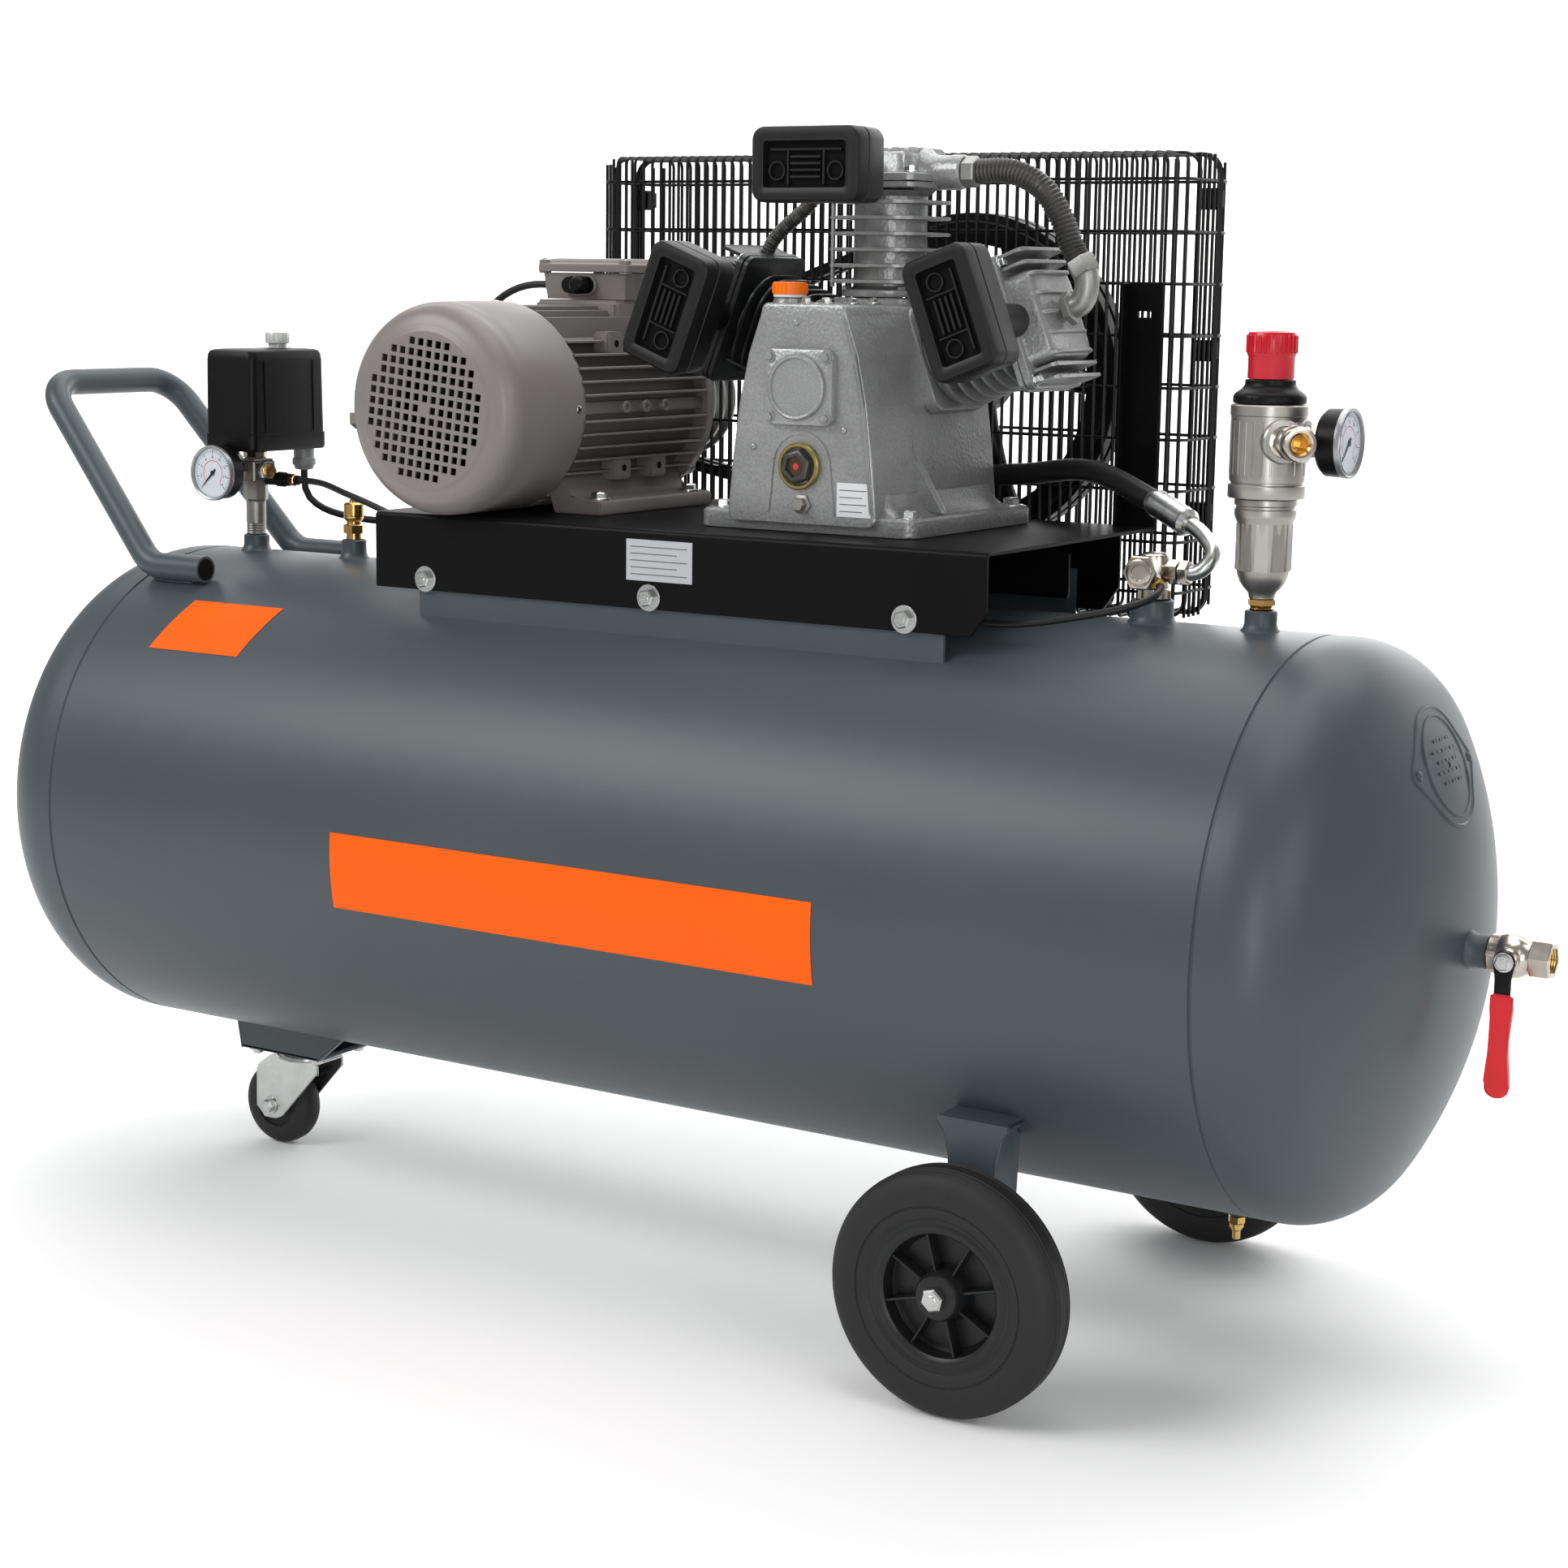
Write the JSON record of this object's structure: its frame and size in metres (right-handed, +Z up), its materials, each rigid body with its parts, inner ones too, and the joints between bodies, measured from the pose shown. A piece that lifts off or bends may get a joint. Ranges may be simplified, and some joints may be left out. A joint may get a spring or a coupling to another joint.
{
  "type": "belt driven piston compressor",
  "caption": "Horizontal wheeled air receiver carrying a motor, a belt driven multi-cylinder piston pump, its belt guard, a pressure switch and a pressure regulator.",
  "frame": {"origin": "on the floor, under the centre of the bounding box", "axes": "+X along the receiver towards its outlet valve, +Y towards the belt guard, +Z up"},
  "size_m": [1.4528, 0.5558, 0.9535],
  "materials": {
    "tank_paint": "satin",
    "black_paint": "satin",
    "motor_paint": "satin warm grey painted",
    "steel": "plain",
    "cast_alloy": "silver hammertone painted",
    "cast_aluminium": "silver hammertone painted",
    "black_plastic": "matte",
    "rubber": "matte",
    "tyre": "matte",
    "zinc": "zinc plated",
    "nickel": "satin nickel plated",
    "brass": "satin",
    "orange_plastic": "satin",
    "red_plastic": "satin",
    "clear_plastic": "translucent white",
    "grey_plastic": "matte",
    "needle": "black painted"
  },
  "bodies": {
    "frame": {"tank": "tank_paint", "handle": "tank_paint", "wheel_bracket_front": "tank_paint", "wheel_bracket_rear": "tank_paint", "caster_bracket": "tank_paint", "platform": "black_paint", "guard_front": "black_paint", "guard_rear": "black_paint", "motor_frame": "motor_paint", "fan_cover": "motor_paint", "terminal_box": "motor_paint", "switch_manifold": "steel", "cooler_pipe_left": "steel", "crankcase": "cast_alloy", "cylinder_top": "cast_alloy", "cylinder_left": "cast_alloy", "cylinder_right": "cast_alloy", "bearing_cover": "cast_aluminium", "head_top": "cast_aluminium", "head_left": "cast_aluminium", "head_right": "cast_aluminium", "cooler_pipe_right": "cast_aluminium", "filter_top": "black_plastic", "filter_left": "black_plastic", "filter_right": "black_plastic", "switch_housing": "black_plastic", "regulator_bonnet": "black_plastic", "tank_gauge": "black_plastic", "regulator_gauge": "black_plastic", "delivery_hose": "rubber", "unloader_tube": "rubber", "v_belt": "rubber", "ball_valve": "nickel", "check_valve": "nickel", "regulator_bowl": "nickel", "regulator_body": "nickel", "outlet_coupling": "nickel", "drain_valve": "brass", "safety_valve": "brass", "sight_glass": "brass", "oil_cap": "orange_plastic", "motor_cable": "grey_plastic"},
    "front_wheel": {"wheel_rim_front": "black_plastic", "tyre_front": "tyre"},
    "rear_wheel": {"wheel_rim_rear": "black_plastic", "tyre_rear": "tyre"},
    "caster_swivel_fork": {"caster_fork": "zinc"},
    "caster_roller": {"caster_wheel": "rubber"},
    "drain_screw": {"drain_knob": "brass"},
    "outlet_lever": {"valve_lever": "red_plastic"},
    "start_knob": {"switch_knob": "clear_plastic"},
    "tank_pointer": {"tank_gauge_needle": "needle"},
    "line_pointer": {"regulator_gauge_needle": "needle"},
    "pressure_knob": {"regulator_knob": "red_plastic"},
    "motor_rotor": {"motor_shaft": "steel", "motor_pulley": "cast_alloy", "cooling_fan": "black_plastic"},
    "drive_wheel": {"flywheel": "black_paint", "crankshaft": "steel"}
  },
  "joints": [
    {"name": "front_wheel_roll", "type": "hinge", "parent": "frame", "child": "front_wheel", "pos_m": [0.3607, -0.2469, 0.0952], "axis": [0, 1, 0], "continuous": true},
    {"name": "rear_wheel_roll", "type": "hinge", "parent": "frame", "child": "rear_wheel", "pos_m": [0.3607, 0.2329, 0.0952], "axis": [0, 1, 0], "continuous": true},
    {"name": "caster_swivel", "type": "hinge", "parent": "frame", "child": "caster_swivel_fork", "pos_m": [-0.4759, -0.007, 0.0937], "axis": [0, 0, 1], "continuous": true},
    {"name": "caster_roll", "type": "hinge", "parent": "caster_swivel_fork", "child": "caster_roller", "pos_m": [-0.5079, -0.007, 0.04], "axis": [0, 1, 0], "continuous": true},
    {"name": "drain_turn", "type": "hinge", "parent": "frame", "child": "drain_screw", "pos_m": [0.4871, -0.007, 0.0955], "axis": [0, 0, 1], "range_deg": [0, 360]},
    {"name": "outlet_lever_turn", "type": "hinge", "parent": "frame", "child": "outlet_lever", "pos_m": [0.6971, -0.0325, 0.35], "axis": [0, -1, 0], "range_deg": [0, 90]},
    {"name": "start_knob_push", "type": "slide", "parent": "frame", "child": "start_knob", "axis": [0, 0, 1], "range_m": [0, 0.006]},
    {"name": "tank_pointer_turn", "type": "hinge", "parent": "frame", "child": "tank_pointer", "pos_m": [-0.5294, -0.0657, 0.65], "axis": [0, 1, 0], "range_deg": [0, 270]},
    {"name": "line_pointer_turn", "type": "hinge", "parent": "frame", "child": "line_pointer", "pos_m": [0.5508, -0.007, 0.7199], "axis": [-1, 0, 0], "range_deg": [0, 270]},
    {"name": "pressure_knob_turn", "type": "hinge", "parent": "frame", "child": "pressure_knob", "pos_m": [0.4861, -0.007, 0.78], "axis": [0, 0, 1], "range_deg": [0, 1080]},
    {"name": "flywheel_spin", "type": "hinge", "parent": "frame", "child": "drive_wheel", "pos_m": [0.1131, 0.22, 0.749], "axis": [0, 1, 0], "continuous": true},
    {"name": "motor_spin", "type": "hinge", "parent": "frame", "child": "motor_rotor", "pos_m": [-0.2049, 0.22, 0.7225], "axis": [0, 1, 0], "continuous": true}
  ],
  "couplings": [
    {"joint": "motor_spin", "follows": "flywheel_spin", "ratio": 2.5}
  ]
}
